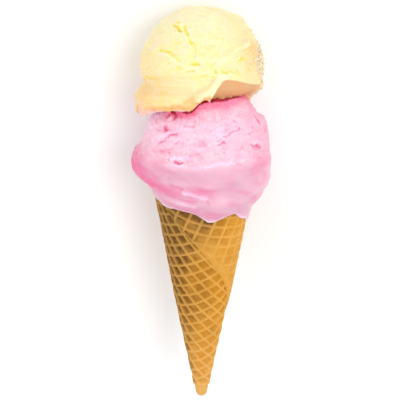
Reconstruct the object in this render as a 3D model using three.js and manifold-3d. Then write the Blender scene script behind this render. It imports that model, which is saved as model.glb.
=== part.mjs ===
// A double-scoop ice cream cone: a rolled sugar cone with a pink and a yellow scoop on top.
// Lengths are in millimetres, angles in degrees. The pieces are shaped with the cone upright, its
// tip at the origin, and are then laid down on the backs of the two scoops, with the front up.

import * as THREE from 'three';
import { mergeVertices } from 'three/addons/utils/BufferGeometryUtils.js';
import Module from 'manifold-3d';

// ---------------------------------------------------------------- driving dimensions

// Rolled sugar cone
const coneLength = 130;
const coneHalfAngle = 10.62;
const tipRadius = 2.77;          // where the straight flank would meet the tip's plane
const smoothTipLength = 9;       // the tip is pressed smooth, the waffle starts above it
const waffleDepth = 1.15;        // from the ridges down to the floor of a cell
const floorInset = 0.25;         // share of a cell on each side that its sloping walls take
const coreDepth = 1.8;             // surface of the core under the baked sheet
const sheetBottom = -2.3;        // underside of the sheet, inside the core
const layerRise = 0.5;           // ridges of the inner layer over the plain cone
const wrapStep = 1.4;            // ridges of the outer layer over the plain cone, by the free edge
const leftNarrowing = 1.1;       // how much the roll is squeezed in at the left of its mouth
const plainRidgesFrom = 75;      // nearer the tip than this, a cell's ridges bend at their middles
const rimBandDrop = 0.25;        // the plain rim of the wafer lies this much under its ridges

// Two families of straight ridges on the flat wafer, each with its direction, spacing and offset.
const innerWaffle = { first: [25.2, 6.25, 2.35], second: [129, 5.8, -3.4] };
const outerWaffle = { first: [163.4, 6.05, -4.0], second: [68, 6.9, 3.4] };

// The wafer's free edge runs down the cone as a spiral, from the mouth at the front left.
const edgeStart = -50;
const edgeEnd = 150;
const edgeAtFront = 118.5;       // slant distance from the apex where the edge crosses the front
const edgeDrop = 0.5;            // slant distance lost for each degree round the cone
const backJoint = 272;           // where the two layers' patterns meet, behind the left flank

// Pink scoop: a ball with a raised shoulder at the front right and a lip low on its left
const pinkRadius = 38.4;
const pinkHeight = 146.7;        // centre, above the tip
const pinkShoulder = 3.2;        // mean rise of the top, where the upper scoop squeezes it out
const pinkShoulderTilt = 3.8;    // how much more it rises at the front right
const pinkShoulderSide = 25;     // azimuth at which it rises most
const pinkRidge = 3.5;           // crest squeezed up under the torn side of the upper scoop
const pinkDip = 4;               // hollow over the lip on the left
const pinkLip = 1;               // how far the lip stands out
const pinkPinch = 3.5;           // hollow under the lip
const pinkTuck = 0.003;          // how fast the ball's underside draws in, per square degree
const pinkLeftTuck = 0.025;      // the same, more, on the left
const pinkNotch = 2.2;           // notch on the right, between the crest and the torn flap
const pinkFlap = 1.8;            // height of the torn flap
const pinkDent = 1.2;            // small dent low on the right
const pinkCrackDepth = 1.3;
const pinkSkirt = 1.1;           // thickness of the ice cream pressed down over the cone's wall
const pinkFillet = 3.5;          // fillet where the ball runs into its skirt
const pinkRootDepth = 4;         // the root inside the skirt, which the cone then cuts away

// Yellow scoop: a ball with a pressed-out skirt, torn off at the front right
const yellowRadius = 33.1;
const yellowHeight = 199.3;
const yellowSkirtRadius = 35.8;
const yellowCrease = 0.9;        // depth of the crease between ball and skirt
const yellowTurnIn = 1.4;        // how far the skirt's lower edge turns in
const yellowCutStep = 0.8;       // sharp step at the top of the cut, torn side
const yellowCut = 5.2;           // how much further the cut goes in towards its lower edge
const yellowCutReach = 24;       // degrees of elevation over which it does so
const yellowFold = 1;            // folded ridge at the right end of the cut
const yellowKnob = 1.9;          // small knob at the upper right
const yellowRootHeight = 180;    // middle of the underside, which sits down in the pink scoop
const yellowTornSink = 1.5;      // how much deeper it sits where the skirt is torn off

// Fit and rest
const gap = 0.3;                 // clearance between touching pieces
const restDepth = 0.5;           // depth of the small flats that the scoops rest on

// Fineness
const stepsRound = 54;
const rowsAbove = 22;
const rowsBelow = 4;
const coreSides = 36;

// ---------------------------------------------------------------- small helpers

const { sin, cos, tan, atan, atan2, asin, hypot, min, max, exp, PI } = Math;
const degree = PI / 180;
const slope = tan(coneHalfAngle * degree);
const sinHalf = sin(coneHalfAngle * degree);
const cosHalf = cos(coneHalfAngle * degree);
const apexHeight = -tipRadius / slope;
const slantAt = (height) => (height - apexHeight) / cosHalf;
const slantBottom = slantAt(smoothTipLength);
const slantTop = slantAt(coneLength);

const ease = (value, from, to) => {
  const t = min(1, max(0, (value - from) / (to - from)));
  return t * t * (3 - 2 * t);
};
const turn = (angle) => ((angle + 540) % 360) - 180;
const hill = (value, centre, width) => exp(-(((value - centre) / width) ** 2));
const hillRound = (azimuth, centre, width) => hill(turn(azimuth - centre), 0, width);

const wasm = await Module();
wasm.setup();

// A closed geometry, with its shared corners merged, becomes a solid for joins and cuts.
function toSolid(geometry) {
  const bare = geometry.clone();
  bare.deleteAttribute('normal');
  bare.deleteAttribute('uv');
  const merged = mergeVertices(bare, 1e-4);
  return new wasm.Manifold(new wasm.Mesh({
    numProp: 3,
    vertProperties: new Float32Array(merged.attributes.position.array),
    triVerts: new Uint32Array(merged.index.array),
  }));
}

function toGeometry(solid) {
  const mesh = solid.getMesh();
  const geometry = new THREE.BufferGeometry();
  geometry.setAttribute('position', new THREE.BufferAttribute(mesh.vertProperties, 3));
  geometry.setIndex(new THREE.BufferAttribute(mesh.triVerts, 1));
  geometry.computeVertexNormals();
  return geometry;
}

// Collects triangles and gives them back as one geometry.
class Faces {
  constructor() {
    this.corners = [];
  }

  triangle(a, b, c) {
    this.corners.push(...a, ...b, ...c);
  }

  quad(a, b, c, d) {
    this.triangle(a, b, c);
    this.triangle(a, c, d);
  }

  geometry() {
    const geometry = new THREE.BufferGeometry();
    geometry.setAttribute('position', new THREE.Float32BufferAttribute(this.corners, 3));
    return geometry;
  }
}

// ---------------------------------------------------------------- laying the cone down

// The line that touches both scoops from behind leans by this angle against the cone's axis.
const lean = asin((pinkRadius - yellowRadius) / (yellowHeight - pinkHeight)) / degree;
const layDown = new THREE.Matrix4().makeRotationX(-(90 + lean) * degree);
const restHeight = pinkRadius - restDepth;
const pinkCentreLaid = new THREE.Vector3(0, 0, pinkHeight).applyMatrix4(layDown);
const yellowTopLaid = new THREE.Vector3(0, 0, yellowHeight).applyMatrix4(layDown).y + yellowRadius;
const tipLaid = -tipRadius * sin(lean * degree);
layDown.premultiply(new THREE.Matrix4().makeTranslation(
  0, -(yellowTopLaid + tipLaid) / 2, restHeight - pinkCentreLaid.z));

// ---------------------------------------------------------------- rolled sugar cone

// Rolls a point of the flat wafer, at a height over its face, onto the cone.
function roll(across, along, height) {
  const slant = hypot(across, along);
  return onCone(atan2(across, along) / sinHalf / degree, slant, height);
}

function onCone(azimuth, slant, height) {
  const radius = slant * sinHalf + height * cosHalf;
  return [
    radius * sin(azimuth * degree),
    -radius * cos(azimuth * degree),
    apexHeight + slant * cosHalf - height * sinHalf,
  ];
}

const azimuthOf = ([across, along]) => atan2(across, along) / sinHalf / degree;
const edgeSlant = (azimuth) => max(slantBottom, edgeAtFront - edgeDrop * azimuth);
const bandWidth = (azimuth) => 2.5 + 4.5 * ease(azimuth, -35, 10);
const narrowed = (azimuth, slant) => leftNarrowing * ease(slant, 80, 145) * hillRound(azimuth, -95, 60);
const innerLift = (azimuth, slant) => layerRise - narrowed(azimuth, slant);
const outerLift = (azimuth, slant) => innerLift(azimuth, slant)
  + (wrapStep - layerRise) * (1 - ease(azimuth, 90, 250));

// Where two ridges cross on the flat wafer, for whole or broken ridge numbers.
function latticePoint({ first, second }, i, j) {
  const [angleA, spacingA, offsetA] = first;
  const [angleB, spacingB, offsetB] = second;
  const a = [-sin(angleA * degree), cos(angleA * degree), offsetA + i * spacingA];
  const b = [-sin(angleB * degree), cos(angleB * degree), offsetB + j * spacingB];
  const det = a[0] * b[1] - a[1] * b[0];
  return [(a[2] * b[1] - a[1] * b[2]) / det, (a[0] * b[2] - a[2] * b[0]) / det];
}

// The corners of one cell: its ridges with their middles, and its sunken floor.
const ringSteps = [[0, 0], [0.5, 0], [1, 0], [1, 0.5], [1, 1], [0.5, 1], [0, 1], [0, 0.5]];
const floorSteps = [[0, 0], [1, 0], [1, 1], [0, 1]];
const neighbours = [[0, -1], [1, 0], [0, 1], [-1, 0]];
const towardsFloor = (step) => floorInset + step * (1 - 2 * floorInset);

// A rolled plate of waffle cells, for all the cells that may touch the region.
function wafflePlate(lattice, touches, lift) {
  const faces = new Faces();
  const reach = 60;
  const isInside = (i, j) => touches(latticePoint(lattice, i + 0.5, j + 0.5));
  const flip = handed(lattice) < 0;
  for (let i = -reach; i < reach; i += 1) {
    for (let j = -reach; j < reach; j += 1) {
      if (isInside(i, j)) addCell(faces, lattice, i, j, lift, isInside, flip);
    }
  }
  return faces.geometry();
}

// Whether the ridge numbers run round a cell the same way as the wafer's own axes.
function handed(lattice) {
  const origin = latticePoint(lattice, 0, 0);
  const right = latticePoint(lattice, 1, 0);
  const up = latticePoint(lattice, 0, 1);
  return (right[0] - origin[0]) * (up[1] - origin[1]) - (right[1] - origin[1]) * (up[0] - origin[0]);
}

function addCell(faces, lattice, i, j, lift, isInside, flip) {
  const place = (si, sj, height) => {
    const flat = latticePoint(lattice, i + si, j + sj);
    const raised = height === sheetBottom ? height : height + lift(azimuthOf(flat), hypot(...flat));
    return roll(flat[0], flat[1], raised);
  };
  const ring = ringSteps.map(([si, sj]) => place(si, sj, 0));
  const under = ringSteps.map(([si, sj]) => place(si, sj, sheetBottom));
  const floor = floorSteps.map(([si, sj]) => place(towardsFloor(si), towardsFloor(sj), -waffleDepth));
  const middle = place(0.5, 0.5, sheetBottom);
  const add = (a, b, c) => (flip ? faces.triangle(a, c, b) : faces.triangle(a, b, c));
  add(floor[0], floor[1], floor[2]);
  add(floor[0], floor[2], floor[3]);
  for (let side = 0; side < 4; side += 1) {
    const [a, b, c] = [2 * side, 2 * side + 1, (2 * side + 2) % 8];
    const [start, end] = [floor[side], floor[(side + 1) % 4]];
    const [si, sj] = ringSteps[b];
    const isWide = hypot(...latticePoint(lattice, i + si, j + sj)) > plainRidgesFrom;
    const edges = isWide ? [[a, c]] : [[a, b], [b, c]];
    add(ring[a], isWide ? ring[c] : ring[b], start);
    add(isWide ? ring[c] : ring[b], end, start);
    if (!isWide) add(ring[b], ring[c], end);
    for (const [from, to] of edges) {
      add(under[to], under[from], middle);
      if (!isInside(i + neighbours[side][0], j + neighbours[side][1])) {
        add(ring[from], under[from], ring[to]);
        add(ring[to], under[from], under[to]);
      }
    }
  }
}

// A curved block on the cone's wall between two azimuths, from one slant distance to another.
const blockStep = 7;
function wallBlock(from, to, low, high, bottom, top) {
  const faces = new Faces();
  const steps = Math.ceil((to - from) / blockStep);
  const sections = [];
  for (let step = 0; step <= steps; step += 1) {
    const azimuth = from + (step / steps) * (to - from);
    const [near, far] = [low(azimuth), high(azimuth)];
    sections.push([
      onCone(azimuth, near, bottom),
      onCone(azimuth, far, bottom),
      onCone(azimuth, far, top(azimuth, far)),
      onCone(azimuth, near, top(azimuth, near)),
    ]);
  }
  for (let step = 0; step < steps; step += 1) {
    for (let side = 0; side < 4; side += 1) {
      const next = (side + 1) % 4;
      const [here, there] = [sections[step], sections[step + 1]];
      faces.quad(here[side], here[next], there[next], there[side]);
    }
  }
  const [first, last] = [sections[0], sections[steps]];
  faces.quad(first[0], first[3], first[2], first[1]);
  faces.quad(last[0], last[1], last[2], last[3]);
  return faces.geometry();
}

// The core under the sheet, with the smooth pressed tip.
function coreGeometry() {
  const radiusAt = (height) => tipRadius + height * slope;
  const shoulder = smoothTipLength + coreDepth;
  const roundEnd = 1.9;
  const outline = [
    [0, 0],
    [0.45 * tipRadius, 0.08 * roundEnd],
    [0.8 * tipRadius, 0.35 * roundEnd],
    [radiusAt(roundEnd), roundEnd],
    [radiusAt(smoothTipLength), smoothTipLength],
    [radiusAt(shoulder) - coreDepth, shoulder],
    [radiusAt(coneLength) - coreDepth, coneLength],
    [0, coneLength],
  ];
  const profile = outline.map(([r, h]) => new THREE.Vector2(r, h));
  return new THREE.LatheGeometry(profile, coreSides).rotateX(PI / 2);
}

const always = (value) => () => value;
const seamOverlap = 0.5;
const tuckUnder = 0.6;
const blockBottom = sheetBottom - 0.3;
const blockTop = always(wrapStep + 1.5);
const innerStart = backJoint - 360;

// Whether a point of the wafer is in a region or within half a cell's diagonal of it.
function isNear(from, to, low, high) {
  const reach = 4.8;
  return (point) => {
    const slant = hypot(point[0], point[1]);
    const azimuth = azimuthOf(point);
    const margin = reach / (slant * sinHalf) / degree;
    const lowest = min(low(azimuth), low(azimuth + margin));
    const highest = max(high(azimuth), high(azimuth - margin));
    return azimuth > from - margin && azimuth < to + margin
      && slant > lowest - reach && slant < highest + reach;
  };
}

function makeCone() {
  const bottom = always(slantBottom);
  const top = always(slantTop);
  const bandEdge = (azimuth) => min(slantTop, edgeSlant(azimuth) + bandWidth(azimuth));
  const bandTop = (azimuth) => min(slantTop, bandEdge(azimuth) + tuckUnder);
  const bandFace = (azimuth, slant) => outerLift(azimuth, slant) - rimBandDrop;
  const tucked = (azimuth) => min(slantTop, edgeSlant(azimuth) + tuckUnder);
  const innerEdge = (azimuth) => (azimuth < edgeStart ? slantTop : edgeSlant(azimuth));
  const outerEdge = (azimuth) => (azimuth > edgeEnd ? slantBottom : edgeSlant(azimuth));
  const isOnInner = isNear(innerStart, edgeEnd, bottom, innerEdge);
  const isOnOuter = isNear(edgeStart, backJoint, outerEdge, top);
  const block = (from, to, low, high) => toSolid(
    wallBlock(from, to, low, high, blockBottom, blockTop));

  const innerSheet = toSolid(wafflePlate(innerWaffle, isOnInner, innerLift))
    .intersect(block(innerStart, edgeStart + seamOverlap, bottom, top)
      .add(block(edgeStart, edgeEnd + seamOverlap, bottom, tucked)));
  const outerSheet = toSolid(wafflePlate(outerWaffle, isOnOuter, outerLift))
    .intersect(block(edgeStart, edgeEnd + seamOverlap, bandEdge, top)
      .add(block(edgeEnd, backJoint + seamOverlap, bottom, top)));
  const rimBand = toSolid(wallBlock(edgeStart, edgeEnd, edgeSlant, bandTop, sheetBottom, bandFace));
  return toSolid(coreGeometry()).add(innerSheet).add(outerSheet).add(rimBand);
}

// The mouth of the cone, from this far under its rim, with the gap added on the outside. The pink
// scoop is cut with it.
const clearanceDepth = 40;

function makeConeClearance() {
  const low = coneLength - clearanceDepth;
  const high = coneLength - sheetBottom * sinHalf + gap;
  const radiusAt = (height) => tipRadius + height * slope - coreDepth;
  const outline = [[0, low], [radiusAt(low), low], [radiusAt(high), high], [0, high]];
  const profile = outline.map(([r, h]) => new THREE.Vector2(r, h));
  const inside = new THREE.LatheGeometry(profile, coreSides).rotateX(PI / 2);
  const shell = (from, to, lift) => toSolid(wallBlock(
    from, to, always(slantAt(low)), always(slantTop + gap), blockBottom,
    (azimuth, slant) => lift(azimuth, slant) + gap));
  return toSolid(inside)
    .add(shell(innerStart, edgeStart + seamOverlap, innerLift))
    .add(shell(edgeStart, backJoint + seamOverlap, outerLift));
}

// ---------------------------------------------------------------- scoops

// A scoop is a distance from its centre in every direction. Azimuth 0 is the front, +90 the right.
// Above its lower edge it follows `outer`, and below it the hidden root follows `inner`.
function scoopGeometry(height, edge, outer, inner) {
  const rows = [];
  const edgeThickness = 1.5;
  for (let row = 1; row <= rowsBelow + rowsAbove; row += 1) {
    const points = [];
    for (let step = 0; step < stepsRound; step += 1) {
      const azimuth = -180 + (360 * step) / stepsRound;
      const low = edge(azimuth);
      const isRoot = row <= rowsBelow;
      const elevation = isRoot
        ? -90 + ((low - edgeThickness + 90) * row) / rowsBelow
        : low + ((90 - low) * (row - rowsBelow - 1)) / rowsAbove;
      points.push(scoopPoint(height, azimuth, elevation, (isRoot ? inner : outer)(azimuth, elevation)));
    }
    rows.push(points);
  }
  const faces = new Faces();
  const bottom = scoopPoint(height, 0, -90, inner(0, -90));
  const top = scoopPoint(height, 0, 90, outer(0, 90));
  for (let step = 0; step < stepsRound; step += 1) {
    const next = (step + 1) % stepsRound;
    faces.triangle(bottom, rows[0][next], rows[0][step]);
    for (let row = 0; row < rows.length - 1; row += 1) {
      faces.quad(rows[row][step], rows[row][next], rows[row + 1][next], rows[row + 1][step]);
    }
    faces.triangle(rows[rows.length - 1][step], rows[rows.length - 1][next], top);
  }
  return faces.geometry();
}

function scoopPoint(height, azimuth, elevation, distance) {
  const level = distance * cos(elevation * degree);
  return [
    level * sin(azimuth * degree),
    -level * cos(azimuth * degree),
    height + distance * sin(elevation * degree),
  ];
}

// Depth, from 0 to 1, of a groove along a line between two directions, each [azimuth, elevation].
function groove(azimuth, elevation, from, to, width) {
  const squeeze = cos(elevation * degree);
  const [ax, ay] = [turn(azimuth - from[0]) * squeeze, elevation - from[1]];
  const [bx, by] = [turn(to[0] - from[0]) * squeeze, to[1] - from[1]];
  const share = min(1, max(0, (ax * bx + ay * by) / (bx * bx + by * by)));
  return exp(-((hypot(ax - share * bx, ay - share * by) / width) ** 2));
}

// Gentle unevenness all over a scoop, quiet on its back where it rests.
function lumps(azimuth, elevation, phase, height) {
  const x = cos(elevation * degree) * sin(azimuth * degree);
  const y = -cos(elevation * degree) * cos(azimuth * degree);
  const z = sin(elevation * degree);
  const quiet = 1 - hillRound(azimuth, 180, 35) * hill(elevation, 5, 40);
  const wave = sin(5.3 * x + phase) * sin(4.1 * y - 2 * phase) + sin(6.7 * z + 3.1 * x + phase);
  return height * quiet * wave;
}

// ---------------------------------------------------------------- pink scoop

const pinkCracks = [
  [[-41, 28], [-22, 38]],
  [[-6, 31], [10, 27]],
  [[15, 33], [45, 40]],
  [[54, 25], [68, 19]],
];
const pinkSmears = [
  [[-30, 20], [0, 17]],
  [[0, 17], [30, 13]],
];

// Height over the tip at which the skirt ends on the cone: a drip in front, low at the right.
const pinkEdgeHeight = (azimuth) => 127.5 - 5.2 * hillRound(azimuth, 10, 15)
  - 13 * hillRound(azimuth, 92, 55) - 3 * hillRound(azimuth, -165, 30) + 1.2 * hillRound(azimuth, -65, 25);

// How far the skirt's face stands off the plain cone: over the layer of wafer it lies on.
function pinkSkirtAt(azimuth) {
  const wrapped = azimuth < innerStart ? azimuth + 360 : azimuth;
  const lower = innerLift(wrapped, slantTop);
  const upper = outerLift(wrapped, slantTop);
  const lift = lower + (upper - lower) * ease(wrapped, edgeStart - 6, edgeStart + 4);
  return lift + pinkSkirt * (1 - 0.4 * hillRound(azimuth, -90, 40) - 0.35 * hillRound(azimuth, 95, 50));
}

// Distance at which a direction meets a cone that is larger than the real one by `extra`.
function coneDistance(elevation, extra) {
  const radiusAtCentre = tipRadius + pinkHeight * slope + extra;
  return radiusAtCentre / (cos(elevation * degree) - slope * sin(elevation * degree));
}

function pinkEdge(azimuth) {
  const height = pinkEdgeHeight(azimuth);
  return -atan((pinkHeight - height) / (tipRadius + height * slope + pinkSkirtAt(azimuth))) / degree;
}

// The larger of two values, with a fillet of the given width where they meet.
const blendedMax = (first, second, width) => (first + second + hypot(first - second, width)) / 2;

function pinkOuter(azimuth, elevation) {
  const shoulder = pinkShoulder + pinkShoulderTilt * cos((azimuth - pinkShoulderSide) * degree);
  const crest = pinkRidge * hillRound(azimuth, 30, 45) * ease(elevation, 45, 58);
  const left = hillRound(azimuth, -90, 60);
  const dip = pinkDip * left * ease(elevation, 8, 20) * (1 - 0.4 * ease(elevation, 30, 45));
  const lip = pinkLip * hillRound(azimuth, -92, 30) * hill(elevation, 0, 10);
  const pinch = pinkPinch * hillRound(azimuth, -62, 26) * hill(elevation, -14, 10);
  const tuck = (pinkTuck + pinkLeftTuck * left) * max(0, 6 * left - 10 - elevation) ** 2;
  const notch = pinkNotch * hillRound(azimuth, 105, 45) * hill(elevation, 43.5, 4.5);
  const flap = pinkFlap * hillRound(azimuth, 107, 30) * hill(elevation, 36.5, 3.2);
  const dent = pinkDent * hillRound(azimuth, 90, 30) * hill(elevation, -24, 4);
  const cracks = max(...pinkCracks.map(([from, to]) => groove(azimuth, elevation, from, to, 3)));
  const smears = max(...pinkSmears.map(([from, to]) => groove(azimuth, elevation, from, to, 2.5)));
  const ball = pinkRadius + shoulder * ease(elevation, 8, 48) + crest - dip + lip - pinch - tuck
    - notch + flap - dent - pinkCrackDepth * cracks + 0.5 * smears
    + lumps(azimuth, elevation, 0.6, 0.3) * ease(elevation, -35, -5);
  const wall = coneDistance(elevation, pinkSkirtAt(azimuth)) * (1 - ease(elevation, -10, 0));
  return blendedMax(ball, wall, pinkFillet) - pinkFillet * 0.05;
}

const pinkInner = (azimuth, elevation) => coneDistance(max(elevation, -60), -pinkRootDepth);

// ---------------------------------------------------------------- yellow scoop

// Height over the tip at which the yellow scoop's edge lies, higher at the torn front right.
const yellowEdgeHeight = (azimuth) => 176 + 7.5 * ease(azimuth, -90, -15)
  + 6.5 * ease(azimuth, -12, 4) - 9 * ease(azimuth, 45, 90) - 5 * ease(azimuth, 90, 150);

// 1 where the skirt is torn off. Its torn end leans to the right going up.
const tornFoot = -22;            // elevation of that end's foot
const tornTop = 1;
function tornShare(azimuth, elevation) {
  const border = 10 + 10 * min(1, max(0, (elevation - tornFoot) / (tornTop - tornFoot)));
  return ease(azimuth - border, -3, 3) * (1 - ease(azimuth, 100, 140));
}

const yellowEdgeRadius = (azimuth) => yellowSkirtRadius - 9 * tornShare(azimuth, tornFoot);
const yellowEdge = (azimuth) => -atan(
  (yellowHeight - yellowEdgeHeight(azimuth)) / yellowEdgeRadius(azimuth)) / degree;

const yellowGrooves = [
  [[-44, 24], [-30, 25]],
  [[-30, 25], [-16, 18]],
  [[-65, -3], [-41, 1]],
];

function yellowOuter(azimuth, elevation) {
  const torn = tornShare(azimuth, elevation);
  const towardsFront = 1 - ease(azimuth, 60, 140);
  const grooves = max(...yellowGrooves.map(([from, to]) => groove(azimuth, elevation, from, to, 3)));
  const ridge = groove(azimuth, elevation, [-38, 54], [-12, 36], 3);
  const knob = yellowKnob * hillRound(azimuth, 113, 20) * hill(elevation, 50, 6);
  const flat = 1.4 * hillRound(azimuth, 110, 45) * hill(elevation, 32, 13)
    + 0.7 * hillRound(azimuth, -110, 40) * hill(elevation, 30, 14) + 0.7 * ease(elevation, 55, 80);
  const ball = yellowRadius + lumps(azimuth, elevation, 2.1, 0.2) + knob - flat + 0.7 * ridge - grooves;
  const creaseAt = -10 + 12 * ease(azimuth, -85, -20) * towardsFront;
  const crease = yellowCrease * (1 - 0.45 * ease(azimuth, -60, -20)) * hill(elevation, creaseAt, 3.5);
  const skirtStart = 13 - 7 * ease(azimuth, -80, -30) * towardsFront;
  const skirt = yellowSkirtRadius / cos(elevation * degree) - ball;
  const edge = yellowEdge(azimuth);
  const turnIn = yellowTurnIn * (0.2 + 0.8 * ease(azimuth, -75, -40)) * (1 - ease(elevation, edge, edge + 6));
  const pressed = ease(-elevation, skirtStart, skirtStart + 9) * skirt - crease - turnIn;
  const cutTop = tornTop - 10 * ease(azimuth, 20, 65);
  const cut = yellowCutStep * ease(cutTop - elevation, 0, 1.5)
    + yellowCut * min(1, max(0, (cutTop - elevation) / yellowCutReach));
  const fold = yellowFold * groove(azimuth, elevation, [62, -7], [84, -10], 4);
  const curled = fold - 1.2 * ease(-elevation, 15, 40) - cut * (1 - ease(azimuth, 62, 88));
  return ball + (1 - torn) * pressed + torn * curled;
}

// The flat underside, which sits down in the top of the pink scoop.
function yellowInner(azimuth, elevation) {
  const underside = yellowEdgeHeight(azimuth) - yellowTornSink * tornShare(azimuth, tornFoot);
  const level = underside + (yellowRootHeight - underside) * ease(-elevation, 45, 88);
  return (yellowHeight - level) / sin(-elevation * degree);
}

// ---------------------------------------------------------------- joining, cutting and laying down

// A solid swollen along its corner normals, to cut its neighbour with a little clearance.
function swell(solid, amount) {
  const geometry = toGeometry(solid);
  const { position, normal } = geometry.attributes;
  for (let corner = 0; corner < position.count; corner += 1) {
    position.setXYZ(
      corner,
      position.getX(corner) + amount * normal.getX(corner),
      position.getY(corner) + amount * normal.getY(corner),
      position.getZ(corner) + amount * normal.getZ(corner),
    );
  }
  return toSolid(geometry);
}

const cone = makeCone();
const yellowWhole = toSolid(scoopGeometry(yellowHeight, yellowEdge, yellowOuter, yellowInner));
const yellowSunk = toSolid(toGeometry(yellowWhole).translate(0, 0, -gap));
const yellowClearance = swell(yellowWhole, gap + 0.15).add(yellowSunk).add(yellowWhole);
const pinkWhole = toSolid(scoopGeometry(pinkHeight, pinkEdge, pinkOuter, pinkInner))
  .subtract(yellowClearance)
  .subtract(makeConeClearance());

// The plane that the laid cone rests on, as a large block under it.
const floorBlock = toSolid(new THREE.BoxGeometry(400, 400, 100).translate(0, 0, -50));
const rest = (solid) => toSolid(toGeometry(solid).applyMatrix4(layDown)).subtract(floorBlock);

const look = (color, roughness) => new THREE.MeshStandardMaterial({ color, roughness, metalness: 0 });
const pieces = [
  ['sugar_cone', cone, look('#d08a3c', 0.75)],
  ['pink_scoop', pinkWhole, look('#f5a3cb', 0.45)],
  ['yellow_scoop', yellowWhole, look('#f7e6a2', 0.45)],
];

const iceCreamCone = new THREE.Group();
for (const [name, solid, material] of pieces) {
  const mesh = new THREE.Mesh(toGeometry(rest(solid)), material);
  mesh.name = name;
  iceCreamCone.add(mesh);
}

export default iceCreamCone;
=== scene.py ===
# %% [markdown]
# # A double-scoop ice cream cone
# This notebook dresses a plain CAD model of an ice cream cone: a rolled sugar cone with a pink and a
# yellow scoop, lying on its back on a table. Three surfaces are worked out with numpy, and each one
# takes the place of a plain CAD solid. The finishes are procedural, so nothing is painted by hand.

# %% Load the fixed frame
import math

import bpy
import numpy as np
from mathutils import Matrix, Vector


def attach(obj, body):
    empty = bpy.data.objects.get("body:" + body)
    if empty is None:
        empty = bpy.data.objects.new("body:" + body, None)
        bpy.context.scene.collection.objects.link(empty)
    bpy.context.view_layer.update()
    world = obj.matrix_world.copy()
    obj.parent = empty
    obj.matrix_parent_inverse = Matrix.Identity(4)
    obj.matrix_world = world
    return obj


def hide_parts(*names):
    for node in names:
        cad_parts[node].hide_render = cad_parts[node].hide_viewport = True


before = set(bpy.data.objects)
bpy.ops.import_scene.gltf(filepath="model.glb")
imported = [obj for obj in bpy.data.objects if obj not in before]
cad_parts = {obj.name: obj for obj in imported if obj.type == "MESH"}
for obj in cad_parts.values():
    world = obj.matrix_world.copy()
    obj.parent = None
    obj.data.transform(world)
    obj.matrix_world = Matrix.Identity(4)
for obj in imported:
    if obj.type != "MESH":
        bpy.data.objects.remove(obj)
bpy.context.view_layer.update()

# %% [markdown]
# ## The sizes of the real thing
# All lengths are in millimetres and all angles in degrees, with the cone standing upright on its tip.
# Azimuth 0 is the side that faces us and +90 is its right. A sugar cone is baked as a flat wafer and
# rolled while it is hot, so its waffle grid is easiest to describe on the flat wafer, by the distance
# from the point that would be the apex (the slant) and the direction round it.

# %% Driving sizes
CONE_LENGTH = 130.0
CONE_HALF_ANGLE = math.radians(10.62)
TIP_RADIUS = 2.77
SMOOTH_TIP = 9.0
WAFFLE_DEPTH = 1.3
LAYER_RISE = 0.5
WRAP_STEP = 1.4
LEFT_NARROWING = 1.1
RIM_BAND_DROP = 0.25
EDGE_START, EDGE_END = -50.0, 150.0
EDGE_AT_FRONT, EDGE_DROP = 118.5, 0.5
BACK_JOINT = 272.0
PATTERN_JOINT = 205.0

PINK_RADIUS, PINK_HEIGHT = 38.4, 146.7
YELLOW_RADIUS, YELLOW_HEIGHT = 33.1, 199.3
YELLOW_SKIRT_RADIUS = 35.8
REST_DEPTH = 0.5

SLOPE = math.tan(CONE_HALF_ANGLE)
SIN_HALF, COS_HALF = math.sin(CONE_HALF_ANGLE), math.cos(CONE_HALF_ANGLE)
APEX_HEIGHT = -TIP_RADIUS / SLOPE
SLANT_BOTTOM = (SMOOTH_TIP - APEX_HEIGHT) / COS_HALF
SLANT_TOP = (CONE_LENGTH - APEX_HEIGHT) / COS_HALF
print(f"waffle runs from slant {SLANT_BOTTOM:.1f} to {SLANT_TOP:.1f} mm")

# %% [markdown]
# ## Laying it down
# An ice cream cone can't stand alone. It lies on the backs of its two scoops, so it is turned about
# the X axis by a quarter turn and the lean of the line that touches both scoops from behind. A cone
# could also be modelled lying down from the start, but upright sizes are far easier to think in.

# %% Turn upright millimetres into the frame's metres
LEAN = math.asin((PINK_RADIUS - YELLOW_RADIUS) / (YELLOW_HEIGHT - PINK_HEIGHT))
turn_down = Matrix.Rotation(-(math.pi / 2 + LEAN), 4, "X")
pink_centre_laid = turn_down @ Vector((0, 0, PINK_HEIGHT))
yellow_top_laid = (turn_down @ Vector((0, 0, YELLOW_HEIGHT))).y + YELLOW_RADIUS
tip_laid = -TIP_RADIUS * math.sin(LEAN)
shift = Vector((0, -(yellow_top_laid + tip_laid) / 2, PINK_RADIUS - REST_DEPTH - pink_centre_laid.z))
LAY = np.array(Matrix.Scale(0.001, 4) @ Matrix.Translation(shift) @ turn_down)


def lay(points):
    """Turns and shifts upright points, whose last axis holds x, y and z, into the laid frame."""
    return points @ LAY[:3, :3].T + LAY[:3, 3]


print("pink centre lies at", tuple(round(v, 4) for v in lay(np.array([0, 0, PINK_HEIGHT]))))

# %% [markdown]
# ## Tools for shaping with arrays
# Every surface below is a function of two parameters, worked out for a whole grid at once. These are
# the small pieces of such functions: a soft step, a soft hill, and noise. Blender has noise textures
# of its own, but noise that is worked out here moves the real surface, so it also shows in profile.

# %% Soft steps and hills
def ease(value, start, end):
    """0 before start, 1 after end, and 3t^2 - 2t^3 of the way between them."""
    t = np.clip((value - start) / (end - start), 0, 1)
    return t * t * (3 - 2 * t)


def hill(value, centre, width):
    """exp(-(distance from the centre / width)^2)."""
    return np.exp(-(((value - centre) / width) ** 2))


def turned(angle):
    """The same angle between -180 and 180 degrees."""
    return (angle + 180) % 360 - 180


def hill_round(azimuth, centre, width):
    """A hill on the circle of azimuths."""
    return hill(turned(azimuth - centre), 0, width)


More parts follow.
